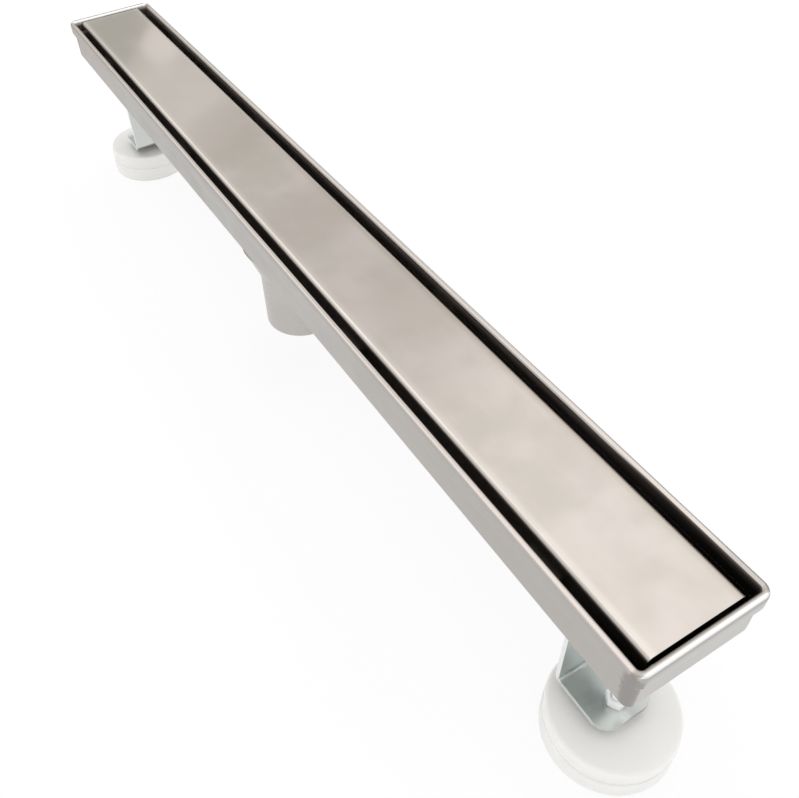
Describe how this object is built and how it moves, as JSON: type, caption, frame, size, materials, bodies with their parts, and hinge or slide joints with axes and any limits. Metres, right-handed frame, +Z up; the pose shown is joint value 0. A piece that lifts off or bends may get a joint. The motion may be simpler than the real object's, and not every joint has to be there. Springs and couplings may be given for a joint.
{
  "type": "linear shower drain",
  "caption": "Long narrow shower floor drain: stepped sheet-steel channel with a sunk solid cover, a funnel outlet under its middle and folded legs on screw levelling feet.",
  "frame": {"origin": "centre of the drain on the floor that the levelling feet stand on, feet screwed fully in", "axes": "+X along the channel towards the right leg, +Y across the channel, +Z up"},
  "size_m": [0.716, 0.072, 0.1384],
  "materials": {
    "stainless_sheet": "satin rolled stainless sheet",
    "stainless_cover": "fine satin stainless panel",
    "zinc_strip": "bluish zinc plating on steel strip",
    "zinc_fixing": "bright zinc plating",
    "white_plastic": "smooth white moulding"
  },
  "bodies": {
    "drain": {"channel_body": "stainless_sheet", "cover_panel": "stainless_cover", "outlet_spigot": "stainless_sheet", "hair_strainer": "stainless_sheet", "cover_rest_1": "stainless_sheet", "cover_rest_2": "stainless_sheet", "cover_rest_3": "stainless_sheet", "cover_rest_4": "stainless_sheet", "left_bracket": "zinc_strip", "left_lower_nut": "zinc_fixing", "left_upper_nut": "zinc_fixing", "left_weld_stud": "stainless_sheet", "left_flange_washer": "zinc_fixing", "left_flange_nut": "zinc_fixing", "right_bracket": "zinc_strip", "right_lower_nut": "zinc_fixing", "right_upper_nut": "zinc_fixing", "right_weld_stud": "stainless_sheet", "right_flange_washer": "zinc_fixing", "right_flange_nut": "zinc_fixing"},
    "left_foot": {"left_foot": "white_plastic", "left_foot_bolt": "zinc_fixing"},
    "right_foot": {"right_foot": "white_plastic", "right_foot_bolt": "zinc_fixing"}
  },
  "joints": [
    {"name": "left_foot_level", "type": "slide", "parent": "drain", "child": "left_foot", "axis": [0, 0, 1], "range_m": [-0.03, 0]},
    {"name": "right_foot_level", "type": "slide", "parent": "drain", "child": "right_foot", "axis": [0, 0, 1], "range_m": [-0.03, 0]}
  ]
}
